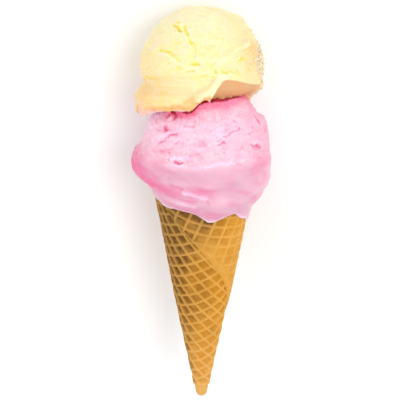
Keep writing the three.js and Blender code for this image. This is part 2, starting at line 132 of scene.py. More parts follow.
# %% Noise on a lattice
# Large odd factors that scatter the bits of a place and of a seed.
FACTOR_X, FACTOR_Y, FACTOR_Z, FACTOR_SEED, FACTOR_ALL = 73856093, 19349663, 83492791, 40503001, 1274126177
LOW_32_BITS = 0xFFFFFFFF


def corner_value(ix, iy, iz, seed):
    """A fixed number from -1 to 1 for each whole-numbered corner, by mixing the bits of its place."""
    mixed = (ix * FACTOR_X) ^ (iy * FACTOR_Y) ^ (iz * FACTOR_Z) ^ (seed * FACTOR_SEED)
    mixed = mixed & LOW_32_BITS
    mixed = ((mixed ^ (mixed >> 13)) * FACTOR_ALL) & LOW_32_BITS
    return ((mixed ^ (mixed >> 16)) & 0xFFFF) / 32767.5 - 1


def noise(points, size, seed):
    """Blends the values of the 8 corners round each point, by 6t^5 - 15t^4 + 10t^3 on each axis."""
    scaled = points / size
    whole = np.floor(scaled).astype(np.int64)
    t = scaled - whole
    t = t * t * t * (t * (t * 6 - 15) + 10)
    total = 0
    for dx in (0, 1):
        for dy in (0, 1):
            for dz in (0, 1):
                share = (np.where(dx, t[..., 0], 1 - t[..., 0]) * np.where(dy, t[..., 1], 1 - t[..., 1])
                         * np.where(dz, t[..., 2], 1 - t[..., 2]))
                total = total + share * corner_value(
                    whole[..., 0] + dx, whole[..., 1] + dy, whole[..., 2] + dz, seed)
    return total


def rough(points, size, octaves, seed):
    """A sum of noises, each half as large and 0.55 times as strong as the one before."""
    return sum(0.55 ** n * noise(points, size / 2 ** n, seed + n) for n in range(octaves))


def pits(points, spacing, smallest, largest, seed):
    """Round holes as 1 - (distance / radius)^2 inside each, one at most in a lattice cube, and none in
    six cubes of ten."""
    scaled = points / spacing
    whole = np.floor(scaled).astype(np.int64)
    deepest = np.zeros(points.shape[:-1])
    for dx in (-1, 0, 1):
        for dy in (-1, 0, 1):
            for dz in (-1, 0, 1):
                cube = [whole[..., n] + d for n, d in enumerate((dx, dy, dz))]
                place = np.stack([cube[n] + 0.5 + 0.4 * corner_value(*cube, seed + n)
                                  for n in range(3)], axis=-1)
                chance = corner_value(*cube, seed + 3)
                radius = smallest + (largest - smallest) * (0.5 + 0.5 * corner_value(*cube, seed + 4)) ** 2
                far = np.linalg.norm(scaled - place, axis=-1) * spacing
                hole = np.clip(1 - (far / radius) ** 2, 0, 1) * (chance > 0.2)
                deepest = np.maximum(deepest, hole)
    return deepest


# %% Put a grid of points into a mesh
def grid_piece(name, rows, layers):
    """A closed skin from rows of points that run round the piece, with a pole below and one above.
    rows has the shape (rows, columns, 3). layers are values per point for the materials. What would
    reach below the table is pressed flat on it."""
    count, columns = rows.shape[:2]
    laid = lay(rows)
    laid[..., 2] = np.maximum(laid[..., 2], 0)
    poles = np.stack([laid[0].mean(axis=0), laid[-1].mean(axis=0)])
    points = np.concatenate([laid.reshape(-1, 3), poles])
    here = np.arange(count - 1)[:, None] * columns + np.arange(columns)[None, :]
    right = np.arange(count - 1)[:, None] * columns + (np.arange(columns)[None, :] + 1) % columns
    quads = np.stack([here, right, right + columns, here + columns], axis=-1).reshape(-1, 4)
    first, last = np.arange(columns), (count - 1) * columns + np.arange(columns)
    bottom = np.stack([np.full(columns, count * columns), np.roll(first, -1), first], axis=-1)
    top = np.stack([np.full(columns, count * columns + 1), last, np.roll(last, -1)], axis=-1)
    mesh = bpy.data.meshes.new(name)
    mesh.vertices.add(len(points))
    mesh.vertices.foreach_set("co", points.ravel())
    corners = np.concatenate([quads.ravel(), bottom.ravel(), top.ravel()])
    sizes = np.concatenate([np.full(len(quads), 4), np.full(2 * columns, 3)])
    mesh.loops.add(len(corners))
    mesh.loops.foreach_set("vertex_index", corners)
    mesh.polygons.add(len(sizes))
    mesh.polygons.foreach_set("loop_start", np.concatenate([[0], np.cumsum(sizes)[:-1]]))
    mesh.polygons.foreach_set("use_smooth", np.ones(len(sizes), dtype=bool))
    for layer, values in layers.items():
        data = mesh.attributes.new(layer, "FLOAT", "POINT").data
        ends = [values[0].mean(), values[-1].mean()]
        data.foreach_set("value", np.concatenate([values.ravel(), ends]).astype(np.float32))
    mesh.update()
    mesh.validate()
    piece = bpy.data.objects.new(name, mesh)
    bpy.context.scene.collection.objects.link(piece)
    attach(piece, "root")
    print(f"{name}: {len(points)} points, {len(quads) * 2 + 2 * columns} triangles")
    return piece


# %% [markdown]
# ## The sugar cone
# The wafer is baked between two irons with crossing grooves, which leave ridges round sunken square
# cells. It is rolled into a cone, and its free edge lies on the layer under it as a spiral with a
# plain rim. The grid could be a bump in the material, but a real relief catches the light in its
# cells and shows along the cone's outline, so the ridges here are part of the surface.

# %% Where the wafer's free edge runs
def edge_slant(azimuth):
    """The spiral of the free edge: its slant at the front less a fixed drop for each degree."""
    return np.maximum(SLANT_BOTTOM, EDGE_AT_FRONT - EDGE_DROP * azimuth)


def band_width(azimuth):
    """The plain rim grows from 1 to 7 mm as the edge comes round to the front."""
    return 1.0 + 6.0 * ease(azimuth, -25, 20)


def inner_lift(azimuth, slant):
    """Ridges of the inner layer over the plain cone, squeezed in at the left of the mouth."""
    return LAYER_RISE - LEFT_NARROWING * ease(slant, 80, 145) * hill_round(azimuth, -95, 60)


def outer_lift(azimuth, slant):
    """Ridges of the outer layer over the plain cone, fading to the inner ones round the back."""
    return inner_lift(azimuth, slant) + (WRAP_STEP - LAYER_RISE) * (1 - ease(azimuth, 90, 250))


# %% The waffle grid on the flat wafer
INNER_WAFFLE = ((25.2, 6.25, 2.35), (129.0, 5.8, -3.4))
OUTER_WAFFLE = ((163.4, 6.05, -4.0), (68.0, 6.9, 3.4))
RIDGE_HALF, RIDGE_SLOPE = 0.22, 1.05


def waffle(azimuth, slant, families):
    """How deep a point lies in a cell, 0 on a ridge and 1 on the floor. For each family of ridges the
    distance to the nearest one is eased from the ridge's top to the floor, and the two are multiplied."""
    theta = np.radians(azimuth) * SIN_HALF
    across, along = slant * np.sin(theta), slant * np.cos(theta)
    depth = 1.0
    for angle, spacing, offset in families:
        a = math.radians(angle)
        count = (-math.sin(a) * across + math.cos(a) * along - offset) / spacing
        distance = np.abs(count - np.round(count)) * spacing
        depth = depth * ease(distance, RIDGE_HALF, RIDGE_HALF + RIDGE_SLOPE)
    return depth


# %% The relief of the whole wafer
def wafer_relief(azimuth, slant, points):
    """Height of the baked skin over the plain cone, and how deep each point lies in a cell. The grids
    of the two layers meet in a plain line down the back."""
    after_start, before_end = azimuth >= EDGE_START, azimuth <= EDGE_END
    outer = np.where(before_end, after_start & (slant > edge_slant(azimuth)), True)
    past_edge = np.where(before_end, slant - edge_slant(azimuth), 100)
    plain_rim = np.where(outer, 1 - ease(past_edge, band_width(azimuth) - 0.8, band_width(azimuth)), 0)
    past_joint = azimuth - PATTERN_JOINT
    inner_grid = waffle(azimuth - 360 * (past_joint > 0), slant, INNER_WAFFLE)
    cells = np.where(outer & (past_joint <= 0), waffle(azimuth, slant, OUTER_WAFFLE), inner_grid)
    cells = cells * (1 - plain_rim) * ease(slant, SLANT_BOTTOM + 0.5, SLANT_BOTTOM + 3)
    cells = cells * ease(np.abs(past_joint), 1, 3)
    faded = 0.6 * outer * (1 - ease(past_edge, 8, 24)) * ease(azimuth, -25, 20) * before_end
    faded = np.maximum(faded, 0.4 * ease(azimuth, 22, 50) * (1 - ease(azimuth, 100, 150)) * outer)
    cells = cells * (1 - faded) * (1 - 0.35 * ease(rough(points, 5, 2, 21), 0.1, 0.8))
    uneven = 0.2 * rough(points, 14, 2, 11)
    worn = 0.12 * rough(points, 2.2, 2, 17)
    rounded = RIM_BAND_DROP * plain_rim + 0.85 * (1 - ease(past_edge, 0, 3.5)) * outer
    lift = np.where(outer, outer_lift(azimuth, slant), inner_lift(azimuth, slant))
    height = lift - rounded - WAFFLE_DEPTH * cells * (1 + uneven) + 0.5 * uneven + worn
    return height, cells


# %% How dark the wafer is
def pink_edge_height(azimuth):
    """Height over the tip at which the ice cream ends on the cone: a drip in front, low at the right."""
    return (127.5 - 5.2 * hill_round(azimuth, 9, 12.5) + 2.4 * hill_round(azimuth, 35, 8)
            - 13 * hill_round(azimuth, 92, 55) - 3 * hill_round(azimuth, -165, 30)
            + 1.2 * hill_round(azimuth, -65, 25))


def wafer_bake_and_shade(azimuth, slant, points):
    """0 where it is golden and 1 where it is brown, as a sum of hills and noise. The noise is the uneven
    bake. The hills are painted shade on its left and in the middle, and painted shadow of the scoop
    towards the top and within 6 mm of the ice cream."""
    towards_edge = points[..., 2] - pink_edge_height(azimuth)
    # Painted shadow of the pink scoop within 6 mm of its edge, on the front and left.
    pink_edge_shadow = 0.45 * ease(towards_edge, -6, -1) * (1 - ease(azimuth, 0, 20)) * (1 - ease(-azimuth, 110, 140))
    # A patch of the same painted shadow on the right.
    patch = 0.4 * hill_round(azimuth, 34, 12) * ease(towards_edge, -4, -1)
    # Painted shade on the left, away from the light, strongest towards the top.
    left = hill_round(azimuth, -86, 50) * (0.5 + 0.5 * ease(slant, 30, 125))
    # Painted shadow of the pink scoop over the top of the front left.
    scoop_shadow = 0.45 * hill_round(azimuth, -42, 38) * ease(slant, 95, 140)
    # Painted shade in the middle of the front.
    middle_cell_shade = (0.28 * hill_round(azimuth, -10, 34) + 0.15 * hill_round(azimuth, 28, 20)) * ease(slant, 50, 115)
    # The noise is the uneven bake.
    return np.clip(left + scoop_shadow + middle_cell_shade + pink_edge_shadow + patch + 0.18 * rough(points, 12, 2, 19), 0, 1)


# %% Roll the wafer
CONE_COLUMNS, CONE_ROWS = 420, 212
EDGE_GAP = 0.03
TIP_CAP = 2.6
TIP_BAKE = 0.2


def make_cone():
    """The point at a slant and azimuth, moved off the cone's wall along its normal by the relief. The
    two grid rows nearest to the wafer's free edge move onto it, so that its step is sharp."""
    azimuth = BACK_JOINT - 360 + 360 * np.arange(CONE_COLUMNS)[None, :] / CONE_COLUMNS
    slant = np.repeat(np.linspace(SLANT_BOTTOM, SLANT_TOP, CONE_ROWS)[:, None], CONE_COLUMNS, axis=1)
    edge = edge_slant(azimuth[0])
    crossing = np.flatnonzero((azimuth[0] > EDGE_START) & (azimuth[0] < EDGE_END) & (edge < SLANT_TOP - 1))
    nearest = np.searchsorted(slant[:, 0], edge[crossing])
    slant[nearest - 1, crossing] = edge[crossing] - EDGE_GAP
    slant[nearest, crossing] = edge[crossing] + EDGE_GAP
    a = np.radians(azimuth)
    radius = slant * SIN_HALF
    plain = np.stack([radius * np.sin(a), -radius * np.cos(a), APEX_HEIGHT + slant * COS_HALF], axis=-1)
    height, cells = wafer_relief(azimuth, slant, plain)
    normal = np.stack([COS_HALF * np.sin(a), -COS_HALF * np.cos(a), 0 * a - SIN_HALF], axis=-1)
    wall = plain + height[..., None] * normal
    tip = tip_rows(azimuth[0])
    cap = wall[-1][None] * np.linspace(0.95, 0.05, 6)[:, None, None]
    cap[..., 2] = wall[-1, :, 2]
    rows = np.concatenate([tip, wall, cap])
    at_tip, at_cap = np.ones(tip.shape[:2]), np.zeros(cap.shape[:2])
    layers = {
        "cell_depth": np.concatenate([0 * at_tip, cells, at_cap]),
        # The uneven bake with painted shade and shadow, and a fixed amount at the tip.
        "bake_and_shade": np.concatenate([TIP_BAKE * at_tip, wafer_bake_and_shade(azimuth, slant, plain), at_cap]),
        "pale": np.concatenate([at_tip, 1 - ease(slant, 15, 92), at_cap]),
    }
    return grid_piece("rolled_sugar_cone", rows, layers)


def tip_rows(azimuth):
    """The smooth pressed tip: a plain cone closed by a quarter of an ellipse, with a faint ring."""
    closing = TIP_CAP * (1 - np.cos(np.linspace(0.12, math.pi / 2, 9)))
    height = np.concatenate([closing, np.linspace(3, 8.9, 10)])
    cap = np.where(height < TIP_CAP, np.sqrt(np.clip(1 - (1 - height / TIP_CAP) ** 2, 0, 1)), 1)
    rise = 0.3 * ease(height, 8.2, 8.9) - 0.25 * hill(height, 7.6, 0.5)
    radius = (TIP_RADIUS + height * SLOPE + rise) * cap
    a = np.radians(azimuth)[None, :]
    radius = radius[:, None]
    return np.stack([radius * np.sin(a), -radius * np.cos(a), height[:, None] + 0 * a], axis=-1)


cone = make_cone()
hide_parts("sugar_cone")

# %% [markdown]
# ## The scoops
# A scoop is torn out of a tub by a half-round spoon, which leaves a ball with a rough, cracked crown,
# and a skirt that is pressed out where it is set down. Sculpting by hand would do, but it can't be
# repeated, so each scoop is a distance from its centre in every direction, built up from named
# lumps, folds, cracks and pits. The numbers of a hill are its height in millimetres, and its place
# and its width in degrees.

# %% Shapes that both scoops share
SCOOP_COLUMNS, ROOT_ROWS, BALL_ROWS = 420, 24, 206
LOWEST, HIGHEST = -89, 89.5
# Keeps a division from failing and a comparison from turning on the last digit.
TINY = 1e-6
# Noise taken at points that are scaled by this is drawn out round the scoop.
DRAWN_OUT = np.array([0.6, 0.6, 1.2])


def spot(azimuth, elevation, centre, width):
    """A hill round the azimuth times a hill over the elevation. centre and width give both."""
    return hill_round(azimuth, centre[0], width[0]) * hill(elevation, centre[1], width[1])


def groove(azimuth, elevation, start, end, width):
    """exp(-(distance to the line between two directions / width)^2), all in degrees."""
    squeeze = np.cos(np.radians(elevation))
    ax, ay = turned(azimuth - start[0]) * squeeze, elevation - start[1]
    bx, by = turned(end[0] - start[0]) * squeeze, end[1] - start[1] + TINY
    share = np.clip((ax * bx + ay * by) / (bx * bx + by * by), 0, 1)
    return np.exp(-((np.hypot(ax - share * bx, ay - share * by) / width) ** 2))


def strokes(azimuth, elevation, paths, width):
    """The deepest of the grooves along all the legs of all the paths."""
    legs = [(path[n], path[n + 1]) for path in paths for n in range(len(path) - 1)]
    return np.max([groove(azimuth, elevation, *leg, width) for leg in legs], axis=0)


def broken(points, size, seed):
    """A factor that makes a stroke fade and return: 0.4, and up to 0.6 more where the noise is high."""
    return 0.4 + 0.6 * ease(noise(points, size, seed), -0.35, 0.3)


def lumps(azimuth, elevation, phase, height):
    """Slow waves over the ball, as products and sums of sines, quiet on its back, where it rests."""
    x, y, z = np.moveaxis(directions(azimuth, elevation), -1, 0)
    quiet = 1 - spot(azimuth, elevation, (180, 5), (35, 40))
    wave = np.sin(5.3 * x + phase) * np.sin(4.1 * y - 2 * phase) + np.sin(6.7 * z + 3.1 * x + phase)
    return height * quiet * wave


def directions(azimuth, elevation):
    """Unit vectors: cos e sin a, -cos e cos a and sin e."""
    a, e = np.radians(azimuth), np.radians(elevation)
    return np.stack([np.cos(e) * np.sin(a), -np.cos(e) * np.cos(a), np.sin(e)], axis=-1)


def shaken(azimuth, elevation, points, seed):
    """The directions, each moved by a coarse and a fine noise, so that no stroke is quite straight."""
    a = azimuth + 1.5 * noise(points, 4, seed + 1) + 0.7 * noise(points, 1.7, seed)
    e = elevation + 1.2 * noise(points, 3, seed + 2) + 0.6 * noise(points, 1.4, seed - 1)
    return a, e


def flake_lines(points, size, patch, seed):
    """Thin lines where a noise is near 0, as 0.5 less 4 times its distance from 0, kept where a
    coarser noise is high."""
    lines = np.clip(0.5 - np.abs(noise(points * DRAWN_OUT, size, seed)) * 4, 0, 1)
    return lines * ease(noise(points, patch, seed + 1), -0.2, 0.3)


def scoop_grid(edge):
    """Azimuths and elevations of a scoop's grid: rows below its lower edge, then rows up to the top.
    The columns stand closer together in front, where the surface is torn most."""
    turn = math.pi * (2 * np.arange(SCOOP_COLUMNS)[None, :] / SCOOP_COLUMNS - 1)
    azimuth = np.degrees(turn - 0.42 * np.sin(turn))
    low = edge(azimuth)
    root = LOWEST + (low - LOWEST) * np.linspace(0, 1, ROOT_ROWS, endpoint=False)[:, None]
    ball = low + (HIGHEST - low) * np.linspace(0, 1, BALL_ROWS)[:, None] ** 1.15
    elevation = np.concatenate([root, ball])
    return np.broadcast_to(azimuth, elevation.shape), elevation


# %% The pink scoop's form
PINK_SMEARS = (((-30, 20), (0, 17)), ((0, 17), (30, 13)))
PINK_SKIRT = 1.1
PINK_FILLET = 3.5
ROOT_INSET = 3.6


def cone_distance(elevation, extra):
    """Distance from the pink scoop's centre to a cone that is larger than the real one by extra: its
    radius at the centre's height over cos e - slope * sin e."""
    e = np.radians(elevation)
    return (TIP_RADIUS + PINK_HEIGHT * SLOPE + extra) / (np.cos(e) - SLOPE * np.sin(e))


def pink_skirt(azimuth):
    """How far the skirt's face stands off the plain cone: the lift of the layer of wafer it lies on,
    plus its own thickness, which is less at both sides."""
    wrapped = np.where(azimuth < BACK_JOINT - 360, azimuth + 360, azimuth)
    lower, upper = inner_lift(wrapped, SLANT_TOP), outer_lift(wrapped, SLANT_TOP)
    lift = lower + (upper - lower) * ease(wrapped, EDGE_START - 6, EDGE_START + 4)
    return lift + PINK_SKIRT * (1 - 0.4 * hill_round(azimuth, -90, 40) - 0.35 * hill_round(azimuth, 95, 50))


def pink_edge(azimuth):
    """Elevation of the ragged line at which the skirt ends on the cone: minus the arc tangent of its
    drop below the centre over its radius."""
    ring = directions(azimuth, 0 * azimuth)
    height = pink_edge_height(azimuth) + 0.6 * rough(ring * 26, 5, 3, 31)
    radius = TIP_RADIUS + height * SLOPE + pink_skirt(azimuth)
    return -np.degrees(np.arctan((PINK_HEIGHT - height) / radius))


def blended_max(first, second, width):
    """The larger of two values, with a fillet where they meet: half of the sum of both and of the
    root of their squared difference plus the squared width."""
    return (first + second + np.hypot(first - second, width)) / 2


def pink_form(azimuth, elevation):
    """The distance from the centre: the ball plus and less its named hills, blended with the wall of
    the skirt."""
    shoulder = 3.2 + 3.8 * np.cos(np.radians(azimuth - 25))
    crest = 3.5 * hill_round(azimuth, 30, 45) * ease(elevation, 45, 58)
    left = hill_round(azimuth, -90, 60)
    dip = 4 * left * ease(elevation, 8, 20) * (1 - 0.4 * ease(elevation, 30, 45))
    lip = spot(azimuth, elevation, (-92, 0), (30, 10))
    pinch = 3.5 * spot(azimuth, elevation, (-62, -14), (26, 10))
    tuck = (0.003 + 0.025 * left) * np.maximum(0, 6 * left - 10 - elevation) ** 2
    notch = (2.2 * spot(azimuth, elevation, (105, 43.5), (45, 4.5))
             + 1.5 * spot(azimuth, elevation, (92, 51), (35, 4.5)))
    flap = 0.6 * spot(azimuth, elevation, (107, 38), (30, 3))
    right = hill_round(azimuth, 80, 32)
    dent = right * (1.3 * hill(elevation, -20, 5) + 1.3 * hill(elevation, -34, 3.5))
    smears = np.max([groove(azimuth, elevation, *ends, 2.5) for ends in PINK_SMEARS], axis=0)
    ball = (PINK_RADIUS + shoulder * ease(elevation, 8, 48) + crest - dip + lip - pinch - tuck
            - notch + flap - dent + 0.5 * smears
            + lumps(azimuth, elevation, 0.6, 0.3) * ease(elevation, -35, -5))
    wall = cone_distance(elevation, pink_skirt(azimuth)) * (1 - ease(elevation, -10, 0))
    return blended_max(ball, wall, PINK_FILLET) - 0.05 * PINK_FILLET


# %% The pink scoop's torn surface
# Each stroke is a path of directions: cracks and pits are cut in, ridges are raised.
PINK_CRACKS = (
    ((-42, 28), (-36, 31), (-29, 35), (-22, 36)), ((47, 25), (59, 21)), ((15, 30), (19, 30)))
PINK_THIN = (((-1, 31), (4, 29), (10, 27)), ((11, 31), (18, 34), (27, 36), (34, 38), (40, 36)),
             ((-8, 29), (-5, 30)), ((-23, 30), (-17, 32)), ((10, 28), (16, 30)))
PINK_PITS = (((-38, 39.5), (-35, 39)), ((-21, 16), (-18, 15)), ((64, 43), (62, 38)),
             ((-32, 52), (-31, 48)), ((-42, 52), (-41, 51)))
PINK_FAINT = (((56, 28), (59, 27)), ((30, 44), (33, 44)), ((19, 37), (22, 38)), ((29, 13), (34, 12)),
              ((-50, 22), (-44, 20)), ((-15, 42), (-8, 43)), ((44, 33), (50, 34)), ((-30, 24), (-26, 26)),
              ((-60, 32), (-57, 37)), ((-40, 22), (-34, 24), (-28, 22)), ((-10, 22), (-2, 23)),
              ((5, -14), (6, -18)))
PINK_RIDGES = (((-25, 19), (-9, 21)), ((-26, 14), (-5, 12), (9, 14), (24, 15)))
PINK_LOW_GROOVES = (((-50, -2), (-42, -6), (-33, -10)), ((-37, -10), (-18, -15), (-5, -17)),
                    ((-2, -6), (8, -7), (17, -5)), ((-26, -4), (-16, -6)))
PINK_LOW_RIDGES = (((-14, -8), (4, -12)), ((-26, -19), (-8, -22)))


def yellow_rim_line(azimuth):
    """Elevation on the pink scoop at which the yellow one's rim comes down: it climbs from the overhang
    at the left, steps up by 4.9 degrees where the skirt is cut, and falls away at the right."""
    left = 48 + 6 * ease(azimuth, -100, -45) - 0.8 * hill(azimuth, -14, 8)
    cut = 4.9 * ease(azimuth, -14, 1) - 1.2 * hill(azimuth, 25, 8) + 0.5 * ease(azimuth, 35, 70)
    return left + cut - 9.4 * ease(azimuth, 76, 97)


def pink_contact_shadow(azimuth, elevation, points):
    """Painted shadow below the yellow scoop's rim, where it rests on this one. From the rim downwards a
    painted shade of at most 0.6 fades over 12 degrees, and a dark painted shadow line of 0.4 over the
    last 3. Both are patchy on the left and weak on the right."""
    line = yellow_rim_line(azimuth)
    patchy = broken(points, 3, 37) * ease(azimuth, -56, -44)
    share = np.maximum(0.25 * ease(azimuth, -80, -58), patchy + (1 - patchy) * ease(azimuth, -20, -10))
    overhang_shadow = 0.6 * ease(elevation, line - 12, line - 1.5) * (1 - 0.4 * ease(azimuth, 35, 60))
    contact_line_shadow = 0.4 * ease(elevation, line - 2.9, line - 1.5) * (1 - 0.4 * ease(azimuth, 45, 70))
    return (overhang_shadow + contact_line_shadow) * share * (1 - ease(azimuth, 76, 92))


def make_pink():
    """Each point is the centre plus its direction times form and relief: fine noise less cracks, pits
    and grooves, plus ridges. Below the skirt's edge it lies inside the wafer. The layers say, from the
    same strokes and from hills, where shade is painted in hollows, on the sides and on the lower half,
    where smears darken it, where highlights and a pale rim are painted, and where the other scoop's
    shadow is painted."""
    azimuth, elevation = scoop_grid(pink_edge)
    form = pink_form(azimuth, elevation)
    way = directions(azimuth, elevation)
    centre = np.array([0, 0, PINK_HEIGHT])
    base = centre + form[..., None] * way
    torn = ease(elevation, 6, 15)
    quiet = 1 - spot(azimuth, elevation, (180, 5), (40, 40))
    a, e = shaken(azimuth, elevation, base, 40)
    cracks = np.maximum(strokes(a, e, PINK_CRACKS, 0.85) * (0.3 + 0.7 * broken(base, 3.2, 38)),
                        0.8 * strokes(a, e, PINK_THIN, 0.7) * broken(base, 2.4, 29))
    valleys = strokes(a, e, PINK_CRACKS, 2.8)
    holes = np.maximum(strokes(a, e, PINK_PITS, 1.6), 0.5 * torn * pits(base, 4.2, 0.35, 1.0, 45))
    faint = strokes(a, e, PINK_FAINT, 1.0)
    lips = strokes(a, e - 2.4, PINK_CRACKS, 1.5)
    ridges = strokes(a, e, PINK_RIDGES, 1.5) * broken(base, 6, 36)
    low = strokes(a, e, PINK_LOW_GROOVES, 1.7) * broken(base, 5, 34)
    low_ridges = strokes(a, e, PINK_LOW_RIDGES, 1.8) * broken(base, 5, 33)
    flakes = flake_lines(base, 4.6, 8, 43)
    along = elevation + 0.22 * azimuth
    slide = np.stack([0.06 * azimuth, 0.2 * along, 0 * along], axis=-1)
    smear = rough(slide, 1.6, 4, 48) * (1 - torn) * (1 - ease(np.abs(azimuth), 100, 150))
    drift = rough(base * np.array([0.35, 0.35, 1.0]), 5, 3, 32)
    uneven = torn * (0.7 * rough(base * DRAWN_OUT, 4.6, 3, 46) + 0.3 * rough(base, 1.3, 2, 47))
    fine = uneven + 0.3 * smear + 0.35 * low_ridges
    depth = cracks + 0.35 * valleys + 1.2 * holes + 0.55 * faint + 0.5 * torn * flakes + 0.6 * low
    edge = pink_edge(azimuth)
    relief = (fine - depth + 0.4 * lips + 0.5 * ridges) * quiet * ease(elevation, edge + 1, edge + 5)
    end = 1 - ease(elevation, edge, edge + 3)
    distance = form + relief - 0.6 * end
    below = elevation < edge - TINY
    distance = np.where(below, cone_distance(np.maximum(elevation, -60), -ROOT_INSET), distance)
    points = centre + distance[..., None] * way
    # Painted shade in cracks, pits, grooves and low bumps.
    hollow_shade = (0.7 * cracks + 0.2 * valleys + holes + 0.4 * faint + 0.3 * torn * flakes + 0.5 * low
              + 0.3 * ease(-uneven, 0.05, 0.8))
    # Painted shade on the left lip, away from the light, broken up behind.
    lip = 1.05 * spot(azimuth, elevation, (-90, 1), (22, 13)) * (0.85 + 0.3 * drift)
    lip = lip * (1 - 0.45 * ease(rough(base, 6, 3, 67), -0.3, 0.6) * ease(-azimuth, 86, 100))
    # Painted shade low down on the left.
    tuck = (0.5 * spot(azimuth, elevation, (-62, 3), (20, 12))
            + 0.52 * spot(azimuth, elevation, (-42, -9), (24, 7)))
    # Painted shade on the right side.
    right = 0.4 * hill_round(azimuth, 76, 28) * ease(elevation, -6, 12) * (1 + 0.3 * drift)
    # A little painted shade on the lower half, streaked by smears, and an uneven tone.
    shade_and_streaks = lip + tuck + right + (0.1 + 0.25 * smear) * (1 - torn) + 0.12 * rough(base, 6, 2, 49)
    # Painted shade on the lower half, away from the light, varied by smears; less on the right and on one
    # pale stripe.
    lower_shade_and_smears = (0.75 + 0.15 * smear + 0.1 * drift) * (1 - torn) * (1 - 0.4 * hill_round(azimuth, 75, 25))
    lower_shade_and_smears = lower_shade_and_smears * (1 - 0.8 * spot(azimuth, elevation, (16, -17), (10, 6)))
    # Painted light on the crown, and on one spot that lies in the yellow scoop's shadow.
    lit = ease(elevation, 22, 36) * (1 - ease(elevation, 44, 54)) * (1 - ease(azimuth, 15, 60))
    lit = 0.33 * lit + 1.2 * spot(azimuth, elevation, (-72, 47), (17, 8))
    thin = (1 - ease(elevation, edge + 1, edge + 4)) * broken(base, 1.6, 35)
    # Painted highlights on ridges, lips, low ridges and bumps, and a pale thin rim at the edge.
    pale = 0.7 * ridges + 0.4 * lips + 0.8 * low_ridges + 0.3 * ease(uneven, 0.1, 0.8) + lit + 0.7 * thin
    layers = {
        "hollow_shade": np.clip(hollow_shade, 0, 1) * quiet,
        "shade_and_streaks": np.clip(shade_and_streaks, 0, 1),
        "lower_shade_and_smears": np.clip(lower_shade_and_smears, 0, 1),
        "pale": np.clip(pale, 0, 1),
        # Painted shadow below the yellow scoop's rim.
        "contact_shadow": pink_contact_shadow(azimuth, elevation, base),
    }
    return grid_piece("pink_ice_cream", points, layers)


# %% The yellow scoop's form
def yellow_edge_height(azimuth):
    """Height of its lower edge over the cone's tip, higher where the skirt is torn off."""
    return (176 + 7.5 * ease(azimuth, -90, -15) + 6.5 * ease(azimuth, -12, 4) - 9 * ease(azimuth, 62, 105)
            - 5 * ease(azimuth, 105, 150))


def torn_share(azimuth, elevation):
    """1 where the skirt is torn off. The torn end leans to the right going up."""
    border = 5 + 15 * np.clip((elevation + 22) / 23, 0, 1)
    return ease(azimuth - border, -3, 3) * (1 - ease(azimuth, 100, 140))


def yellow_crease(azimuth):
    """Elevation of the crease between the ball and its skirt, higher in front than at the sides."""
    return -10 + 12 * ease(azimuth, -85, -20) * (1 - ease(azimuth, 60, 140))


def yellow_cut_top(azimuth):
    """Elevation below which the side is undercut where the skirt is torn off."""
    return 1 - 10 * ease(azimuth, 20, 65)


def yellow_edge(azimuth):
    """Elevation of its slightly ragged lower edge with its drip: minus the arc tangent of the edge's
    drop below the centre over its radius, which is 9 mm less where the skirt is torn off."""
    radius = YELLOW_SKIRT_RADIUS - 9 * torn_share(azimuth, -16)
    drip = 2.0 * hill_round(azimuth, -61, 5)
    ragged = (0.9 - 0.5 * torn_share(azimuth, -22)) * rough(directions(azimuth, 0 * azimuth) * 30, 4, 3, 32)
    height = yellow_edge_height(azimuth) + ragged * (1 - hill_round(azimuth, 180, 60)) - drip
    return -np.degrees(np.arctan((YELLOW_HEIGHT - height) / radius))


def yellow_form(azimuth, elevation):
    """The ball, its pressed-out skirt, the crease between them and the cut, undercut side."""
    torn = torn_share(azimuth, elevation)
    ridge = groove(azimuth, elevation, (-38, 54), (-12, 36), 2.5)
    knob = spot(azimuth, elevation, (113, 50), (24, 9))
    flat = (0.7 * spot(azimuth, elevation, (110, 32), (45, 13)) + 0.7 * ease(elevation, 55, 80)
            + 0.7 * spot(azimuth, elevation, (-110, 30), (40, 14)))
    ball = YELLOW_RADIUS + lumps(azimuth, elevation, 2.1, 0.2) + knob - flat + 0.7 * ridge
    crease = (0.9 - 0.4 * ease(azimuth, -60, -20)) * hill(elevation, yellow_crease(azimuth), 3.5)
    start = 13 - 7 * ease(azimuth, -80, -30) * (1 - ease(azimuth, 60, 140))
    pressed = ease(-elevation, start, start + 9)
    skirt = YELLOW_SKIRT_RADIUS / np.cos(np.radians(elevation)) - ball
    edge = yellow_edge(azimuth)
    turned_in = 1.4 * (0.2 + 0.8 * ease(azimuth, -75, -40)) * (1 - ease(elevation, edge, edge + 6))
    below_top = yellow_cut_top(azimuth) - elevation
    cut = 0.8 * ease(below_top, 0, 1.5) + 5.2 * np.clip(below_top / 24, 0, 1)
    rounding = 1.2 * ease(-elevation, 15, 40) + 1.5 * hill_round(azimuth, 85, 25) * ease(-elevation, 14, 27)
    fold = groove(azimuth, elevation, (62, -8), (84, -16), 5)
    curled = torn * (fold - rounding - cut * (1 - ease(azimuth, 58, 84)))
    return ball + (1 - torn) * (pressed * skirt - crease - turned_in) + curled


def yellow_underside(azimuth, elevation):
    """The flat underside, down in the top of the pink scoop: its depth below the centre over the sine
    of the angle below the horizontal."""
    underside = yellow_edge_height(azimuth) - 1.5 * torn_share(azimuth, -22)
    level = underside + (180 - underside) * ease(-elevation, 45, 88)
    return (YELLOW_HEIGHT - level) / np.sin(np.radians(-elevation))


